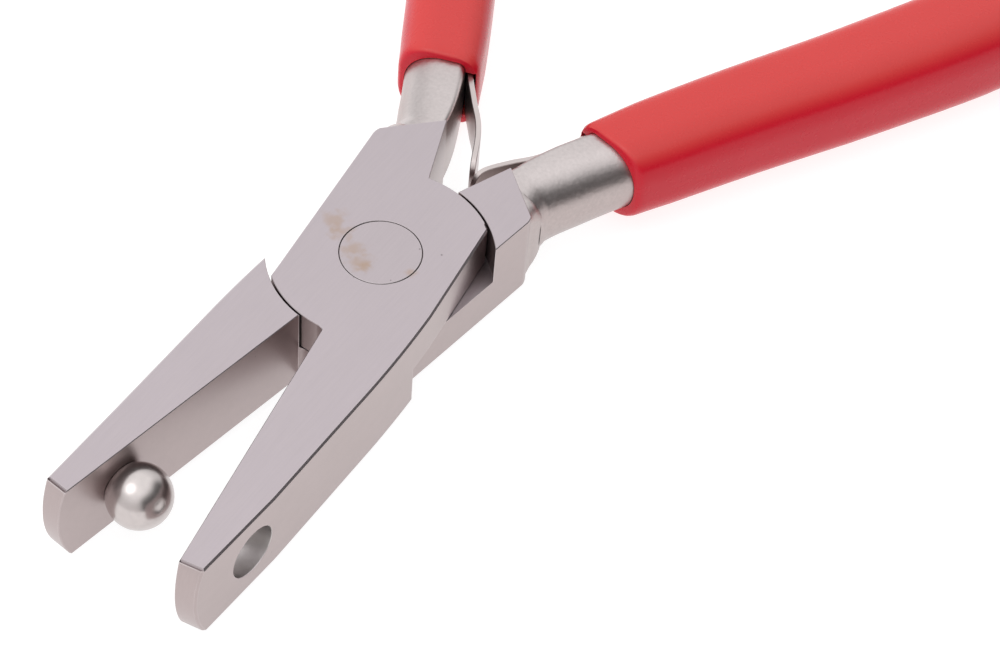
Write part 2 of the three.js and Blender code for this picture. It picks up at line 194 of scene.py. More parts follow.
def pick(piece, kind, test):
    """Selects the vertices, edges or faces of the open piece that pass a test."""
    bpy.ops.mesh.select_mode(type=kind)
    bpy.ops.mesh.select_all(action="DESELECT")
    form = bmesh.from_edit_mesh(piece.data)
    for element in {"VERT": form.verts, "EDGE": form.edges, "FACE": form.faces}[kind]:
        if test(element):
            element.select_set(True)
    form.select_flush_mode()
    bmesh.update_edit_mesh(piece.data)


def apply_modifier(piece, kind, **settings):
    work_on(piece, "OBJECT")
    modifier = piece.modifiers.new(kind.lower(), kind)
    for name, value in settings.items():
        setattr(modifier, name, value)
    bpy.ops.object.modifier_apply(modifier=modifier.name)


def combine(piece, other, operation):
    keeping = "TRANSFER" if other.data.materials else "INDEX"
    apply_modifier(piece, "BOOLEAN", operation=operation, object=other, solver="EXACT",
                   material_mode=keeping)
    bpy.data.objects.remove(other)
    return piece


def settle(piece):
    """Puts the piece's place, turn and scale into its mesh."""
    work_on(piece, "OBJECT")
    bpy.ops.object.transform_apply(location=True, rotation=True, scale=True)


def face_out(piece):
    work_on(piece)
    bpy.ops.mesh.select_all(action="SELECT")
    bpy.ops.mesh.remove_doubles(threshold=0.001 * MM)
    bpy.ops.mesh.normals_make_consistent(inside=False)
    leave()


def smooth(piece, angle=SHARP):
    work_on(piece, "OBJECT")
    bpy.ops.object.shade_smooth_by_angle(angle=angle)


def chamfer(piece, width_at):
    """Chamfers every sharp edge. width_at(edge) gives the width in millimetres."""
    widest = max(CHAMFER, OUTER_CHAMFER, TIP_CHAMFER)
    form = bmesh.new()
    form.from_mesh(piece.data)
    weight = form.edges.layers.float.new("bevel_weight_edge")
    for edge in form.edges:
        if len(edge.link_faces) == 2 and edge.calc_face_angle(0) > SHARP:
            edge[weight] = width_at(edge) / widest
    form.to_mesh(piece.data)
    form.free()
    apply_modifier(piece, "BEVEL", width=widest * MM, segments=1, limit_method="WEIGHT",
                   use_clamp_overlap=False, loop_slide=False)


# ---------------------------------------------------------------- drawing
def arc(centre, radius, start, end, count):
    """Points on an arc between two angles in degrees."""
    turns = [math.radians(start + (end - start) * i / count) for i in range(count + 1)]
    return [(centre[0] + radius * math.cos(t), centre[1] + radius * math.sin(t)) for t in turns]


def bend(start, control, end, count):
    """Points on a curve from start to end that leans towards its control point."""
    steps = [i / count for i in range(count + 1)]
    corners = list(zip(start, control, end))
    return [tuple((1 - t) ** 2 * a + 2 * t * (1 - t) * b + t * t * c for a, b, c in corners)
            for t in steps]


def start_point(name, place):
    """A piece with one vertex."""
    bpy.ops.mesh.primitive_plane_add(size=MM)
    piece = bpy.context.object
    piece.name = name
    piece.data.name = name
    work_on(piece)
    bpy.ops.mesh.select_all(action="SELECT")
    bpy.ops.mesh.merge(type="CENTER")
    bpy.ops.transform.translate(value=Vector(place) * MM)
    return piece


def draw_on(points):
    """Extrudes the selected vertex from point to point."""
    for a, b in zip(points, points[1:]):
        step = (Vector(b) - Vector(a)) * MM
        bpy.ops.mesh.extrude_region_move(TRANSFORM_OT_translate={"value": step})


def drawn_plate(name, outline, bottom, top):
    points = [(x, y, bottom) for x, y in outline]
    plate = start_point(name, points[0])
    draw_on(points)
    bpy.ops.mesh.select_all(action="SELECT")
    bpy.ops.mesh.edge_face_add()
    bpy.ops.mesh.extrude_region_move(TRANSFORM_OT_translate={"value": (0, 0, (top - bottom) * MM)})
    leave()
    face_out(plate)
    return plate


def turned(name, profile, steps):
    """A turned piece: its profile of (radius, height) points, spun round the Z axis."""
    points = [(r, 0, z) for r, z in profile]
    piece = start_point(name, points[0])
    draw_on(points)
    bpy.ops.mesh.select_all(action="SELECT")
    bpy.ops.mesh.spin(steps=steps, angle=2 * math.pi, center=(0, 0, 0), axis=(0, 0, 1))
    leave()
    face_out(piece)
    return piece


def section(place, slant, outer, inner, height, outer_round, inner_round, fullness=0.5):
    """One section of a handle: a flat ring across the Y axis, rounder outside than inside."""
    bpy.ops.mesh.primitive_plane_add(size=1, rotation=(math.pi / 2, 0, 0))
    ring = bpy.context.object
    ring.scale = ((outer + inner) * MM, height * MM, 1)
    ring.location = ((inner - outer) / 2 * MM, 0, MIDDLE * MM)
    settle(ring)
    for side, rounding, count in ((-1, outer_round, OUTER_CORNER_STEPS),
                                  (1, inner_round, INNER_CORNER_STEPS)):
        edge_x = (inner if side > 0 else -outer) * MM
        work_on(ring)
        pick(ring, "VERT", lambda v: abs(v.co.x - edge_x) < TOUCH * MM)
        bpy.ops.mesh.bevel(offset=rounding * MM, affect="VERTICES", segments=count,
                           profile=fullness)
        leave()
    ring.rotation_euler = (0, 0, math.radians(slant))
    ring.location = (0, place * MM, 0)
    settle(ring)
    return ring


def lofted(name, rings, cuts, way="PATH"):
    """Bridges a row of sections into one closed bar."""
    work_on(rings[0], "OBJECT")
    for ring in rings:
        ring.select_set(True)
    bpy.ops.object.join()
    bar = bpy.context.object
    bar.name = name
    bar.data.name = name
    work_on(bar)
    bpy.ops.mesh.select_all(action="SELECT")
    bpy.ops.mesh.delete(type="ONLY_FACE")
    bpy.ops.mesh.select_all(action="SELECT")
    bpy.ops.mesh.bridge_edge_loops(type="SINGLE", number_cuts=cuts, interpolation=way,
                                   smoothness=1.0)
    pick(bar, "EDGE", lambda e: len(e.link_faces) == 1)
    bpy.ops.mesh.edge_face_add()
    leave()
    work_on(bar)
    pick(bar, "EDGE", lambda e: len(e.link_faces) < 2)
    bpy.ops.mesh.fill_holes(sides=0)
    leave()
    face_out(bar)
    return bar


def guide_curve(points):
    """A smooth line that straight bars are bent along."""
    data = bpy.data.curves.new("guide", "CURVE")
    data.dimensions = "3D"
    data.twist_mode = "Z_UP"
    data.resolution_u = 24
    spline = data.splines.new("BEZIER")
    spline.bezier_points.add(len(points) - 1)
    for knot, (x, y) in zip(spline.bezier_points, points):
        knot.co = (x * MM, y * MM, 0)
        knot.tilt = math.pi / 2
        knot.handle_left_type = "AUTO"
        knot.handle_right_type = "AUTO"
    guide = bpy.data.objects.new("guide", data)
    bpy.context.scene.collection.objects.link(guide)
    return guide


def bend_along(bar, points):
    guide = guide_curve(points)
    apply_modifier(bar, "CURVE", object=guide, deform_axis="POS_Y")
    bpy.data.objects.remove(guide)
    return bar


# ---------------------------------------------------------------- effects that finishes share
def effect(name, inputs, outputs):
    """An empty node group with named inputs and outputs."""
    group = bpy.data.node_groups.new(name, "ShaderNodeTree")
    for label, kind, value in inputs:
        socket = group.interface.new_socket(label, in_out="INPUT",
                                            socket_type=f"NodeSocket{kind}")
        socket.default_value = value
    for label, kind in outputs:
        group.interface.new_socket(label, in_out="OUTPUT", socket_type=f"NodeSocket{kind}")
    given = group.nodes.new("NodeGroupInput").outputs
    return group, given, group.nodes.new("NodeGroupOutput").inputs


def add(tree, kind, inputs=(), **settings):
    """Adds a node. Each input is a value or another node's output."""
    node = tree.nodes.new(kind)
    for name, value in settings.items():
        setattr(node, name, value)
    for name, value in dict(inputs).items():
        if isinstance(value, bpy.types.NodeSocket):
            tree.links.new(value, node.inputs[name])
        else:
            node.inputs[name].default_value = value
    return node


def remap(tree, value, low, high, to_low=0.0, to_high=1.0):
    limits = {"Value": value, "From Min": low, "From Max": high,
              "To Min": to_low, "To Max": to_high}
    node = add(tree, "ShaderNodeMapRange", limits, interpolation_type="SMOOTHSTEP")
    return node.outputs["Result"]


def times(tree, a, b):
    return add(tree, "ShaderNodeMath", {0: a, 1: b}, operation="MULTIPLY").outputs[0]


def blend_colour(tree, amount, a, b, way="MIX"):
    node = add(tree, "ShaderNodeMix", {"Factor": amount}, data_type="RGBA", blend_type=way)
    for index, value in ((6, a), (7, b)):
        if isinstance(value, bpy.types.NodeSocket):
            tree.links.new(value, node.inputs[index])
        else:
            node.inputs[index].default_value = value
    return node.outputs[2]


def object_place(tree):
    return add(tree, "ShaderNodeTexCoord").outputs["Object"]


def make_grain():
    """Fine texture. Scale counts specks per metre along each axis: unequal values give lines."""
    group, given, result = effect(
        "grain", [("Scale", "Vector", (1000, 1000, 1000)), ("Contrast", "Float", 0.5)],
        [("Tone", "Float"), ("Height", "Float")])
    place = add(group, "ShaderNodeMapping",
                {"Vector": object_place(group), "Scale": given["Scale"]})
    noise = add(group, "ShaderNodeTexNoise", {"Vector": place.outputs[0], "Scale": 1.0,
                                              "Detail": 3.0, "Roughness": 0.6}).outputs["Fac"]
    centred = add(group, "ShaderNodeMath", {0: noise, 1: 0.5}, operation="SUBTRACT").outputs[0]
    swing = times(group, centred, given["Contrast"])
    tone = add(group, "ShaderNodeMath", {0: swing, 1: 1.0}, operation="ADD")
    group.links.new(tone.outputs[0], result["Tone"])
    group.links.new(noise, result["Height"])
    return group


def make_worn_edge():
    """Where an edge has been rubbed bright, broken up a little along its length."""
    group, given, result = effect(
        "worn_edge", [("Width", "Float", 0.0002), ("Breakup", "Float", 0.5)], [("Mask", "Float")])
    rounded = add(group, "ShaderNodeBevel", {"Radius": given["Width"]}, samples=4).outputs[0]
    flat = add(group, "ShaderNodeNewGeometry").outputs["Normal"]
    agree = add(group, "ShaderNodeVectorMath", {0: rounded, 1: flat}, operation="DOT_PRODUCT")
    edge = remap(group, agree.outputs["Value"], 0.995, 0.86)
    noise = add(group, "ShaderNodeTexNoise",
                {"Vector": object_place(group), "Scale": 700.0, "Detail": 2.0})
    keep = remap(group, noise.outputs["Fac"], 0.35, 0.6)
    broken = add(group, "ShaderNodeMix", {"Factor": given["Breakup"], "A": 1.0, "B": keep},
                 data_type="FLOAT")
    group.links.new(times(group, edge, broken.outputs[0]), result["Mask"])
    return group


def make_stain():
    """A soft ragged blotch round one place."""
    group, given, result = effect(
        "stain",
        [("Place", "Vector", (0, 0, 0)), ("Size", "Float", 0.001), ("Ragged", "Float", 0.5)],
        [("Mask", "Float")])
    place = object_place(group)
    reach = add(group, "ShaderNodeVectorMath", {0: place, 1: given["Place"]},
                operation="DISTANCE").outputs["Value"]
    share = add(group, "ShaderNodeMath", {0: reach, 1: given["Size"]},
                operation="DIVIDE").outputs[0]
    noise = add(group, "ShaderNodeTexNoise",
                {"Vector": place, "Scale": 900.0, "Detail": 4.0}).outputs["Fac"]
    centred = add(group, "ShaderNodeMath", {0: noise, 1: 0.5}, operation="SUBTRACT").outputs[0]
    push = times(group, centred, times(group, given["Ragged"], 4.0))
    total = add(group, "ShaderNodeMath", {0: share, 1: push}, operation="ADD").outputs[0]
    group.links.new(remap(group, total, 1.0, 0.1), result["Mask"])
    return group


def make_pits():
    """Sparse tiny pits."""
    group, given, result = effect(
        "pits", [("Spacing", "Float", 300.0), ("Size", "Float", 0.05), ("Share", "Float", 0.3)],
        [("Mask", "Float")])
    cells = add(group, "ShaderNodeTexVoronoi",
                {"Vector": object_place(group), "Scale": given["Spacing"]})
    dot = remap(group, cells.outputs["Distance"], given["Size"], 0.0)
    chance = add(group, "ShaderNodeSeparateColor", {"Color": cells.outputs["Color"]}).outputs[0]
    chosen = add(group, "ShaderNodeMath", {0: chance, 1: given["Share"]},
                 operation="LESS_THAN").outputs[0]
    group.links.new(times(group, dot, chosen), result["Mask"])
    return group


def make_side_shade_mask():
    """1 on faces that look up or down, 0 on upright sides: the mask that paints shade on upright
    sides.
    """
    group, _, result = effect("side_shade_mask", [], [("Level", "Float")])
    normal = add(group, "ShaderNodeNewGeometry").outputs["Normal"]
    height = add(group, "ShaderNodeSeparateXYZ", {"Vector": normal}).outputs["Z"]
    level = add(group, "ShaderNodeMath", {0: height}, operation="ABSOLUTE").outputs[0]
    group.links.new(remap(group, level, 0.45, 0.85), result["Level"])
    return group


effects = {"grain": make_grain(), "worn_edge": make_worn_edge(), "stain": make_stain(),
           "pits": make_pits(), "side_shade_mask": make_side_shade_mask()}


def use(tree, name, inputs=()):
    return add(tree, "ShaderNodeGroup", inputs, node_tree=effects[name])


# ---------------------------------------------------------------- finishes
RUST = (0.40, 0.27, 0.17, 1)
PIT = (0.10, 0.085, 0.085, 1)
RUBBED = (0.80, 0.76, 0.77, 1)
RUST_STRENGTH = 0.42
PIT_STRENGTH = 0.75
# Painted light on the grips: the top is painted a lighter coral and the sides a deeper red in
# shade.
RED_SHADED_SIDE = (0.58, 0.006, 0.022, 1)
RED_LIT_TOP = (0.65, 0.052, 0.05, 1)
RED_SCUFF = (0.80, 0.20, 0.18, 1)
VINYL_ROUGHNESS = 0.27
# Specks per metre along each axis.
BRUSHED = (6000, 260, 900)
BLASTED = (2600, 2600, 2600)
SMOOTHED = (900, 900, 900)
ROLLED = (300, 300, 5000)
CLOUDED = (160, 160, 160)
RUST_MARKS = (((-0.9, -2.3), 1.7), ((-0.2, -2.5), 1.0), ((-2.4, -1.2), 1.5), ((-4.6, -0.1), 1.5),
              ((-6.1, 0.9), 1.6), ((3.9, -0.5), 0.8))
PIT_MARKS = (((5.08, 3.23), 0.17), ((2.9, 2.6), 0.14), ((-0.31, -4.21), 0.16),
             ((2.85, -2.44), 0.13))


def new_finish(name, metallic, roughness):
    material = bpy.data.materials.new(name)
    material.use_nodes = True
    shader = material.node_tree.nodes["Principled BSDF"]
    shader.inputs["Metallic"].default_value = metallic
    shader.inputs["Roughness"].default_value = roughness
    return material, material.node_tree, shader


def marked(tree, colour, marks, tint, strength, ragged):
    """Stains or pits at their places on the upper flat."""
    for (x, y), size in marks:
        mask = use(tree, "stain", {"Place": (x * MM, y * MM, THICKNESS * MM),
                                   "Size": size * MM, "Ragged": ragged})
        colour = blend_colour(tree, times(tree, mask.outputs[0], strength), colour, tint)
    return colour


def steel(name, level, upright, roughness, grain, contrast, depth, edge=0.15,
          marks=False):
    """Bare steel with its own grain. Its upright sides take a darker, pinker colour: painted shade
    for their dimmer reflection, and partly their milled rather than ground finish.
    """
    material, tree, shader = new_finish(name, 1.0, roughness)
    side_shade_mask = use(tree, "side_shade_mask").outputs[0]
    # Painted shade: upright sides get the darker colour, level faces the lighter one.
    colour = blend_colour(tree, side_shade_mask, upright, level)
    cloud = use(tree, "grain", {"Scale": CLOUDED, "Contrast": 0.05}).outputs["Tone"]
    fine = use(tree, "grain", {"Scale": grain, "Contrast": contrast})
    tone = times(tree, cloud, fine.outputs["Tone"])
    colour = blend_colour(tree, 1.0, colour, tone, "MULTIPLY")
    if marks:
        pits = use(tree, "pits", {"Spacing": 330.0, "Size": 0.035, "Share": 0.3}).outputs[0]
        colour = blend_colour(tree, times(tree, pits, 0.6), colour, PIT)
        colour = marked(tree, colour, RUST_MARKS, RUST, RUST_STRENGTH, 0.5)
        colour = marked(tree, colour, PIT_MARKS, PIT, PIT_STRENGTH, 0.25)
    worn = use(tree, "worn_edge", {"Width": edge * MM, "Breakup": 0.5}).outputs[0]
    colour = blend_colour(tree, times(tree, worn, 0.35), colour, RUBBED)
    tree.links.new(colour, shader.inputs["Base Color"])
    rough = times(tree, fine.outputs["Tone"], roughness)
    tree.links.new(rough, shader.inputs["Roughness"])
    bump = add(tree, "ShaderNodeBump", {"Height": fine.outputs["Height"], "Strength": 1.0,
                                        "Distance": depth * MM})
    tree.links.new(bump.outputs[0], shader.inputs["Normal"])
    return material


def vinyl(name):
    """Dipped red vinyl: a soft gloss, faint clouding, slight sags and scuffed corners, with
    painted light on its top and painted shade on its sides.
    """
    material, tree, shader = new_finish(name, 0.0, 0.3)
    shader.inputs["Specular IOR Level"].default_value = 0.3
    side_shade_mask = use(tree, "side_shade_mask").outputs[0]
    # Painted light and shade: deeper red on upright sides, lighter coral on top.
    colour = blend_colour(tree, side_shade_mask, RED_SHADED_SIDE, RED_LIT_TOP)
    cloud = use(tree, "grain", {"Scale": (60, 60, 60), "Contrast": 0.12}).outputs["Tone"]
    colour = blend_colour(tree, 1.0, colour, cloud, "MULTIPLY")
    scuff = use(tree, "grain", {"Scale": (500, 500, 500), "Contrast": 0.6})
    worn = use(tree, "worn_edge", {"Width": 0.3 * MM, "Breakup": 0.4}).outputs[0]
    colour = blend_colour(tree, times(tree, worn, 0.12), colour, RED_SCUFF)
    tree.links.new(colour, shader.inputs["Base Color"])
    tree.links.new(times(tree, scuff.outputs["Tone"], VINYL_ROUGHNESS), shader.inputs["Roughness"])
    sag = use(tree, "grain", {"Scale": (120, 120, 120), "Contrast": 1.0}).outputs["Height"]
    bump = add(tree, "ShaderNodeBump", {"Height": sag, "Strength": 1.0, "Distance": 0.03 * MM})
    tree.links.new(bump.outputs[0], shader.inputs["Normal"])
    return material


# Each steel finish: level colour, then upright colour, which is the level colour in painted shade.
finishes = {
    "ground_flats": steel(
        "ground_flats", (0.475, 0.428, 0.452, 1), (0.44, 0.37, 0.366, 1), 0.34,
        BRUSHED, 0.10, 0.004, marks=True),
    "satin_shank": steel(
        "satin_shank", (0.58, 0.535, 0.53, 1), (0.47, 0.405, 0.395, 1), 0.34,
        BLASTED, 0.34, 0.02),
    "bored_steel": steel(
        "bored_steel", (0.56, 0.53, 0.53, 1), (0.52, 0.49, 0.48, 1), 0.34,
        SMOOTHED, 0.2, 0.004, edge=0.1),
    "rivet_steel": steel(
        "rivet_steel", (0.47, 0.424, 0.445, 1), (0.4, 0.36, 0.35, 1), 0.34,
        BRUSHED, 0.10, 0.004, marks=True),
    "polished_ball": steel(
        "polished_ball", (0.60, 0.56, 0.55, 1), (0.56, 0.51, 0.50, 1), 0.25,
        SMOOTHED, 0.25, 0.001, edge=0.1),
    "spring_steel": steel(
        "spring_steel", (0.55, 0.50, 0.49, 1), (0.52, 0.455, 0.445, 1), 0.3,
        ROLLED, 0.18, 0.004, edge=0.1),
    "red_vinyl": vinyl("red_vinyl"),
}


def finish(piece, name):
    piece.data.materials.clear()
    piece.data.materials.append(finishes[name])


# ---------------------------------------------------------------- forged halves
def disc_angle(x, side):
    return math.degrees(math.atan2(side * math.sqrt(DISC_RADIUS ** 2 - x * x), x))


def arm_outline(side):
    heel, tip = FACE_HEEL[side], FACE_TIP[side]
    beyond = TIP_BULGE + OVERRUN
    slope = (tip - heel) / (JAW_REACH - SHOULDER_RADIUS)
    outer_tip = tip + TIP_WIDTH
    outer_slope = (JAW_CHEEK[0] - outer_tip) / (JAW_CHEEK[1] + JAW_REACH)
    root_middle = (JAW_SHOULDER[1] + JAW_ROOT_Y) / 2
    outer_corner, inner_corner = BLOCK_END[side]
    w = BLOCK_HALF_WIDTH
    points = [(tip + slope * beyond, -JAW_REACH - beyond),
              (outer_tip - outer_slope * beyond, -JAW_REACH - beyond)]
    points += [JAW_CHEEK]
    points += bend(JAW_SHOULDER, (w - ROOT_LEAN, root_middle), (w, JAW_ROOT_Y), ROOT_STEPS)
    points += arc((0, 0), DISC_RADIUS, disc_angle(w, 1), disc_angle(HANDLE_INNER[0], 1),
                  DISC_STEPS)
    points += [inner_corner]
    points += bend(outer_corner, (-w, outer_corner[1] - BLOCK_CORNER),
                   (-w, outer_corner[1] - 2 * BLOCK_CORNER), CORNER_STEPS)
    points += arc((0, 0), DISC_RADIUS, disc_angle(-w, -1), disc_angle(heel - HEEL_LEDGE, -1),
                  DISC_STEPS)
    points += [(heel, -SHOULDER_RADIUS)]
    return points


def tip_keeper():
    """Everything behind the bowed tips, drawn in side view and stood upright."""
    bow = (MIDDLE ** 2 + TIP_BULGE ** 2) / (2 * TIP_BULGE)
    sweep = math.degrees(math.asin(MIDDLE / bow))
    centre = (-JAW_REACH - TIP_BULGE + bow, MIDDLE)
    far = JAW_REACH
    side_view = [(far, -OVERRUN), (-JAW_REACH, -OVERRUN)]
    side_view += arc(centre, bow, 180 + sweep, 180 - sweep, TIP_STEPS)
    side_view += [(-JAW_REACH, THICKNESS + OVERRUN), (far, THICKNESS + OVERRUN)]
    keeper = drawn_plate("tip_keeper", side_view, -far / 2, far / 2)
    keeper.rotation_euler = (math.pi / 2, 0, math.pi / 2)
    settle(keeper)
    return keeper


def arm_chamfer_width(edge):
    """Wide across the tips, narrower down the jaw's outer side, hair-fine elsewhere."""
    high = max(v.co.y / MM for v in edge.verts)
    level = all(abs(abs(v.co.z / MM - MIDDLE) - MIDDLE) < TOUCH for v in edge.verts)
    at_tip = high < -JAW_REACH + TIP_ZONE
    if level and at_tip and abs(edge.verts[0].co.x - edge.verts[1].co.x) > MM:
        return TIP_CHAMFER
    outer = all(v.co.x / MM > OUTER_SIDE_X for v in edge.verts)
    if outer and high < OUTER_CHAMFER_END and (level or at_tip):
        return OUTER_CHAMFER
    return CHAMFER


def handle_bar(side, growth=0.0):
    """The satin shank and its tang, drawn straight and bent along the handle's line."""
    end = TANG_END + growth
    start = SHANK_START[side]
    rings = [
        section(-1.6 + start, 0, 4.55, 1.3, 9.56, 0.3, 0.3),
        section(1.0 + start, -15, 3.8, 2.1, 9.5, 1.8, 0.35),
        section(2.6 + start, -13, 3.3, 2.5, 9.36, 3.7, 0.45),
        section(4.6 + start, -6, 2.9 + growth, 2.8 + growth, 9.2, 4.2, 0.55),
        section(9.5, 0, 3.05 + growth, 3.2 + growth, 8.9 + 2 * growth, 4.2, 0.6),
        section(14.0, 0, 3.2 + growth, 3.3 + growth, 8.4 + 2 * growth, 4.0, 0.8),
        section(end, 0, 2.5 + growth, 2.5 + growth, 7.0 + 2 * growth, 3.0, 0.8),
    ]
    return bend_along(lofted(f"{side}_handle_bar", rings, SHANK_CUTS), HANDLE_PATH)


def upright_cutter(radius, bottom, top, flare):
    """A round cutter with a flared rim at its top, so that what it cuts has a chamfered edge."""
    profile = [(0, bottom), (radius, bottom), (radius, top - flare)]
    if flare:
        profile += [(radius + 2 * flare, top + flare)]
    return turned("cutter", profile + [(0, top + flare)], ROUND_STEPS)


def laid(piece, place, direction):
    """Lays a turned piece down at half height, with its axis along a level direction."""
    piece.rotation_euler = (0, math.pi / 2, math.atan2(direction[1], direction[0]))
    piece.location = (place[0] * MM, place[1] * MM, MIDDLE * MM)
    settle(piece)
    return piece


def face_normal(side):
    """The way the inner jaw face looks, towards the other jaw."""
    slope = (FACE_TIP[side] - FACE_HEEL[side]) / (JAW_REACH - SHOULDER_RADIUS)
    length = math.hypot(slope, 1)
    return (-1 / length, -slope / length)


# ---------------------------------------------------------------- jaw hole and ball punch
def hole_cutter():
    radius, lead = HOLE_RADIUS, HOLE_LEAD_IN
    profile = [(0, -HOLE_DEPTH), (radius, -HOLE_DEPTH), (radius, -lead),
               (radius + lead + OVERRUN, OVERRUN), (0, OVERRUN)]
    return laid(turned("cutter", profile, BORE_STEPS), HOLE_CENTRE, face_normal("die"))


def break_hole_rim(arm):
    """Takes the sharp edge off the hole where it leaves the outer side of the jaw."""
    along = Vector(face_normal("die") + (0,))
    centre = Vector((HOLE_CENTRE[0], HOLE_CENTRE[1], MIDDLE)) * MM

    def on_rim(edge):
        for vertex in edge.verts:
            reach = vertex.co - centre
            depth = reach.dot(along)
            off_axis = (reach - along * depth).length
            if depth > -HOLE_RIM_DEPTH * MM or abs(off_axis - HOLE_RADIUS * MM) > TOUCH * MM:
                return False
        return edge.calc_face_angle(0) > SHARP

    work_on(arm)
    pick(arm, "EDGE", on_rim)
    bpy.ops.mesh.bevel(offset=HOLE_RIM * MM, affect="EDGES", segments=2)
    leave()


def ball_blank(name, growth):
    """The ball and its stem, turned in one piece with the ball upwards."""
    ball, stem = BALL_RADIUS + growth, STEM_RADIUS + growth
    start = math.degrees(math.asin(stem / ball)) - 90
    profile = [(0, -STEM_LENGTH), (stem, -STEM_LENGTH)]
    profile += arc((0, 0), ball, start, 90, BALL_STEPS)
    profile[-1] = (0, ball)
    return laid(turned(name, profile, BORE_STEPS), BALL_CENTRE, face_normal("ball"))


def ball_punch():
    """The stem is ground off flush with the outer side of the jaw and its rim is broken."""
    punch = ball_blank("ball_punch_piece", 0)
    outer_tip = FACE_TIP["ball"] + TIP_WIDTH
    across = Vector((-(JAW_CHEEK[1] + JAW_REACH), JAW_CHEEK[0] - outer_tip)).normalized()
    work_on(punch)
    bpy.ops.mesh.select_all(action="SELECT")
    bpy.ops.mesh.bisect(plane_co=Vector(JAW_CHEEK + (0,)) * MM,
                        plane_no=(across[0], across[1], 0), use_fill=True, clear_inner=True)
    leave()
    apply_modifier(punch, "BEVEL", width=STEM_BEVEL * MM, segments=2, limit_method="ANGLE",
                   angle_limit=STEM_SHARP)
    return punch


# ---------------------------------------------------------------- leaf springs
def leaf_strip(name, side, growth=0.0):
    """A straight tapered strip with a rounded tip, then bent along the leaf's line."""
    length = LEAF_LENGTH[side]
    tip, root = LEAF_TIP_WIDTH / 2 + growth, LEAF_ROOT_WIDTH / 2 + growth
    corner = LEAF_CORNER
    outline = arc((tip - corner, corner - growth), corner, -90, 0, CORNER_STEPS)
    outline += [(root, length + growth), (-root, length + growth)]
    outline += arc((corner - tip, corner - growth), corner, 180, 270, CORNER_STEPS)
    half = LEAF_THICKNESS / 2 + growth
    strip = drawn_plate(name, outline, -half, half)
    if not growth:
        chamfer(strip, lambda edge: CHAMFER)
    strip.rotation_euler = (0, -math.pi / 2, 0)
    strip.location = (0, 0, MIDDLE * MM)
    settle(strip)
    if not growth:
        deep = LEAF_HOLE_DEPTH
        profile = [(0, -deep), (LEAF_HOLE, -deep), (LEAF_HOLE, deep), (0, deep)]
        hole = turned("cutter", profile, LEAF_HOLE_STEPS)
        combine(strip, laid(hole, (0, length - LEAF_STUB), (1, 0)), "DIFFERENCE")
    work_on(strip)
    for i in range(1, LEAF_CUTS):
        bpy.ops.mesh.select_all(action="SELECT")
        bpy.ops.mesh.bisect(plane_co=(0, length * MM * i / LEAF_CUTS, 0), plane_no=(0, 1, 0))
    leave()
    return bend_along(strip, LEAF_PATH[side])


def leaf_rivet_room(radius, foot, head):
    profile = [(0, foot), (radius, foot), (radius, head), (0, head)]
    return laid(turned("cutter", profile, LEAF_RIVET_STEPS), LEAF_RIVET_PLACE, LEAF_RIVET_WAY)


# ---------------------------------------------------------------- whole halves
def forged_arm(side):
    arm = drawn_plate(f"{side}_forging", arm_outline(side), 0, THICKNESS)
    combine(arm, tip_keeper(), "INTERSECT")
    chamfer(arm, arm_chamfer_width)
    finish(arm, "ground_flats")
    shank = handle_bar(side)
    finish(shank, "satin_shank")
    combine(arm, shank, "UNION")
    if side == "die":
        lap = upright_cutter(SHOULDER_RADIUS, -OVERRUN, MIDDLE + LAP_GAP / 2, 0)
    else:
        lap = upright_cutter(SHOULDER_RADIUS, MIDDLE - LAP_GAP / 2, THICKNESS, SHOULDER_FLARE)
    combine(arm, lap, "DIFFERENCE")
    bore = upright_cutter(RIVET_RADIUS + RIVET_LINE, -OVERRUN, THICKNESS, RIVET_BORE_FLARE)
    combine(arm, bore, "DIFFERENCE")
    combine(arm, leaf_strip("cutter", side, LEAF_CUT_ROOM), "DIFFERENCE")
    combine(arm, leaf_rivet_room(*ARM_RIVET_ROOM), "DIFFERENCE")
    if side == "die":
        drill = hole_cutter()
        finish(drill, "bored_steel")
        combine(arm, drill, "DIFFERENCE")
        break_hole_rim(arm)
    else:
        combine(arm, ball_blank("cutter", BALL_ROOM), "DIFFERENCE")
    return arm


def grip_size(place):
    """How far the sleeve reaches outwards, inwards and in height at a place on the path."""
    for low, high in zip(GRIP_SIZES, GRIP_SIZES[1:]):
        if place <= high[0]:
            share = (place - low[0]) / (high[0] - low[0])
            return [a + (b - a) * share for a, b in zip(low[1:], high[1:])]


def grip_rings(side):
    places = [row[0] for row in GRIP_SIZES]
    places += [GRIP_RING_START + GRIP_RING_STEP * i for i in range(GRIP_RING_COUNT)]
    rings = []
    for place in sorted(set(places)):
        outer, inner, height = grip_size(place)
        slant = GRIP_SLANT[side] * max(0.0, 1 - (place - GRIP_MOUTH) / GRIP_SLANT_END)
        least = min(height, outer + inner)
        rings.append(section(place, slant, outer, inner, height, GRIP_OUTER_ROUNDNESS * least,
                             GRIP_INNER_ROUNDNESS * least, GRIP_FULLNESS))
    return rings


def dipped_grip(side):
    """A sleeve with a rolled lip at its mouth, a swell in the palm and a closed round end."""
    grip = bend_along(lofted(f"{side}_grip_sleeve", grip_rings(side), 0, "LINEAR"), HANDLE_PATH)
    combine(grip, handle_bar(side, TANG_ROOM), "DIFFERENCE")
    combine(grip, leaf_strip("cutter", side, LEAF_SLOT), "DIFFERENCE")
    combine(grip, leaf_rivet_room(*GRIP_RIVET_ROOM), "DIFFERENCE")
    return grip


def joint_rivet():
    """Ground flush with both flats, with its rim barely rounded."""
    r, t = RIVET_RADIUS, THICKNESS
    rim, dip = RIVET_RIM
    profile = [(0, 0), (r - rim, dip), (r, rim), (r, t - rim), (r - rim, t - dip), (0, t)]
    return turned("joint_rivet_piece", profile, ROUND_STEPS)


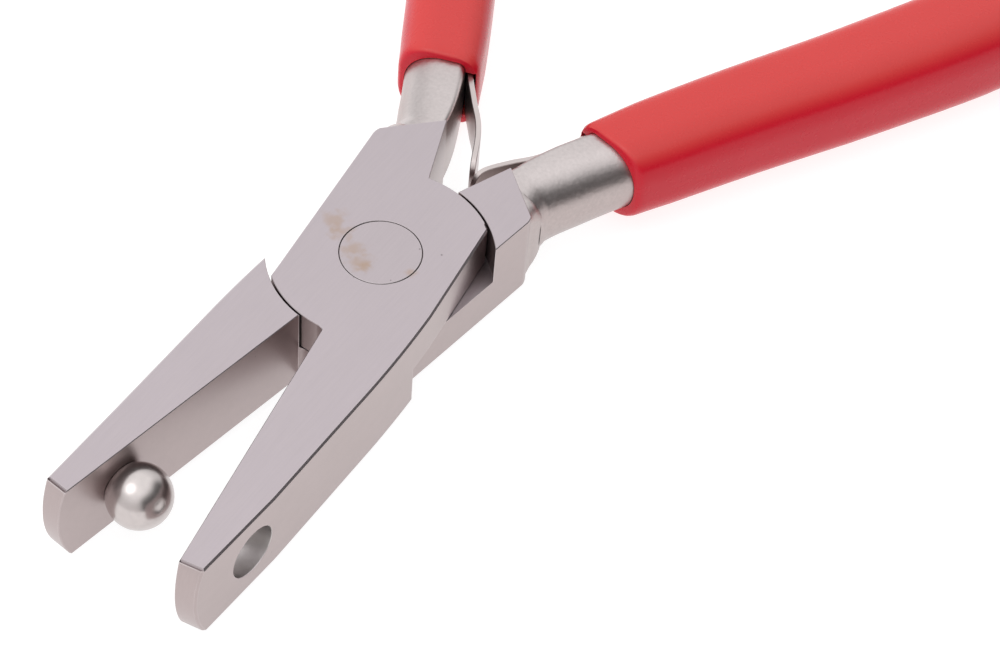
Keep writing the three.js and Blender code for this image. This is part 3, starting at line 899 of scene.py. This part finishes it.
def place_half(piece, side):
    """Turns a piece drawn in a half's own frame to its place, mirrored for the ball half."""
    turn = math.radians(HALF_OPENING)
    if side == "ball":
        piece.scale = (-1, 1, 1)
        settle(piece)
        turn = -turn
    piece.rotation_euler = (0, 0, turn)
    settle(piece)
    if side == "ball":
        work_on(piece)
        bpy.ops.mesh.select_all(action="SELECT")
        bpy.ops.mesh.normals_make_consistent(inside=False)
        leave()


def fit(piece, body, node, slot, side=None):
    """Puts a finished piece on its body, in the place of its plain node."""
    if side:
        place_half(piece, side)
    smooth(piece, FINE_SHARP if slot == "ground_steel" else SHARP)
    if body:
        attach(piece, body)
    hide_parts(node)


for side in ("die", "ball"):
    half = f"{side}_half"
    fit(forged_arm(side), half, f"{side}_arm", "ground_steel", side)

    grip = dipped_grip(side)
    finish(grip, "red_vinyl")
    fit(grip, half, f"{side}_grip", "red_vinyl", side)

    leaf = leaf_strip(f"{side}_leaf", side)
    finish(leaf, "spring_steel")
    fit(leaf, None, f"{side}_leaf_spring", "spring_steel", side)
    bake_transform(leaf)

    finish(nodes[f"{side}_leaf_rivet"], "spring_steel")

punch = ball_punch()
finish(punch, "polished_ball")
fit(punch, "ball_half", "ball_punch", "polished_ball", "ball")

rivet = joint_rivet()
finish(rivet, "rivet_steel")
fit(rivet, RIVET_BODY, "joint_rivet", "rivet_steel")


# ---------------------------------------------------------------- camera, floor and light
CAMERA_PLACE = (0.0963, -0.1495, 0.2129)
CAMERA_TURN = (39.67, 0.0, 28.77)  # degrees
CAMERA_ROLL = 5.41
LENS = 98.45
SENSOR_WIDTH = 36.0
FLOOR_SIZE = 4.0
FLOOR_DROP = 0.0001
FLOOR_GREY = (0.3, 0.3, 0.3, 1)
FLOOR_GLOW = 0.85
STUDIO_WHITE = (1.0, 0.985, 0.985, 1)
CEILING = (0.85, 1.25)
GAP_WAY = (10, 12)  # azimuth and elevation in degrees
GAP_SPREAD = (0.35, 0.8)
GAP_TOP = (1.0, 0.5)
GAP_LEVEL = 0.12
LAMP_WAY = (-125, 62)
LAMP_SPREAD = (0.93, 0.99)
LAMP_LEVEL = 1.3


def add_camera():
    """A long lens, looking down on the pliers from the jaws' side, slightly rolled."""
    base = Matrix.Identity(3)
    for angle, axis in zip(CAMERA_TURN, "XYZ"):
        base = Matrix.Rotation(math.radians(angle), 3, axis) @ base
    turn = base @ Matrix.Rotation(math.radians(CAMERA_ROLL), 3, "Z")
    data = bpy.data.cameras.new("camera")
    data.lens = LENS
    data.sensor_width = SENSOR_WIDTH
    data.clip_start = 0.01
    camera = bpy.data.objects.new("camera", data)
    camera.matrix_world = Matrix.Translation(CAMERA_PLACE) @ turn.to_4x4()
    bpy.context.scene.collection.objects.link(camera)
    bpy.context.scene.camera = camera


def add_floor():
    level = cad_box[0][2] - FLOOR_DROP
    bpy.ops.mesh.primitive_plane_add(size=FLOOR_SIZE, location=(0, 0, level))
    floor = bpy.context.object
    floor.name = "floor"
    material = bpy.data.materials.new("pale_floor")
    material.use_nodes = True
    shader = material.node_tree.nodes["Principled BSDF"]
    shader.inputs["Base Color"].default_value = FLOOR_GREY
    shader.inputs["Roughness"].default_value = 0.7
    shader.inputs["Emission Color"].default_value = (1, 1, 1, 1)
    shader.inputs["Emission Strength"].default_value = FLOOR_GLOW
    floor.data.materials.append(material)


def add_studio():
    """A white room with a bright ceiling, one soft lamp high up and a dark gap low down."""
    world = bpy.data.worlds.new("studio")
    bpy.context.scene.world = world
    world.use_nodes = True
    tree = world.node_tree
    way = add(tree, "ShaderNodeTexCoord").outputs["Generated"]
    height = add(tree, "ShaderNodeSeparateXYZ", {"Vector": way}).outputs["Z"]

    def towards(azimuth, elevation):
        a, e = math.radians(azimuth), math.radians(elevation)
        aim = (math.cos(a) * math.cos(e), math.sin(a) * math.cos(e), math.sin(e))
        meets = add(tree, "ShaderNodeVectorMath", {0: way, 1: aim}, operation="DOT_PRODUCT")
        return meets.outputs["Value"]

    light = remap(tree, height, 0.3, 0.9, *CEILING)
    gap = times(tree, remap(tree, towards(*GAP_WAY), *GAP_SPREAD),
                remap(tree, height, *GAP_TOP))
    light = times(tree, light, remap(tree, gap, 0.0, 1.0, 1.0, GAP_LEVEL))
    lamp = times(tree, remap(tree, towards(*LAMP_WAY), *LAMP_SPREAD), LAMP_LEVEL)
    light = add(tree, "ShaderNodeMath", {0: light, 1: lamp}, operation="ADD").outputs[0]
    background = tree.nodes["Background"]
    background.inputs["Color"].default_value = STUDIO_WHITE
    tree.links.new(light, background.inputs["Strength"])


add_camera()
add_floor()
add_studio()
bpy.context.scene.view_settings.view_transform = "Standard"
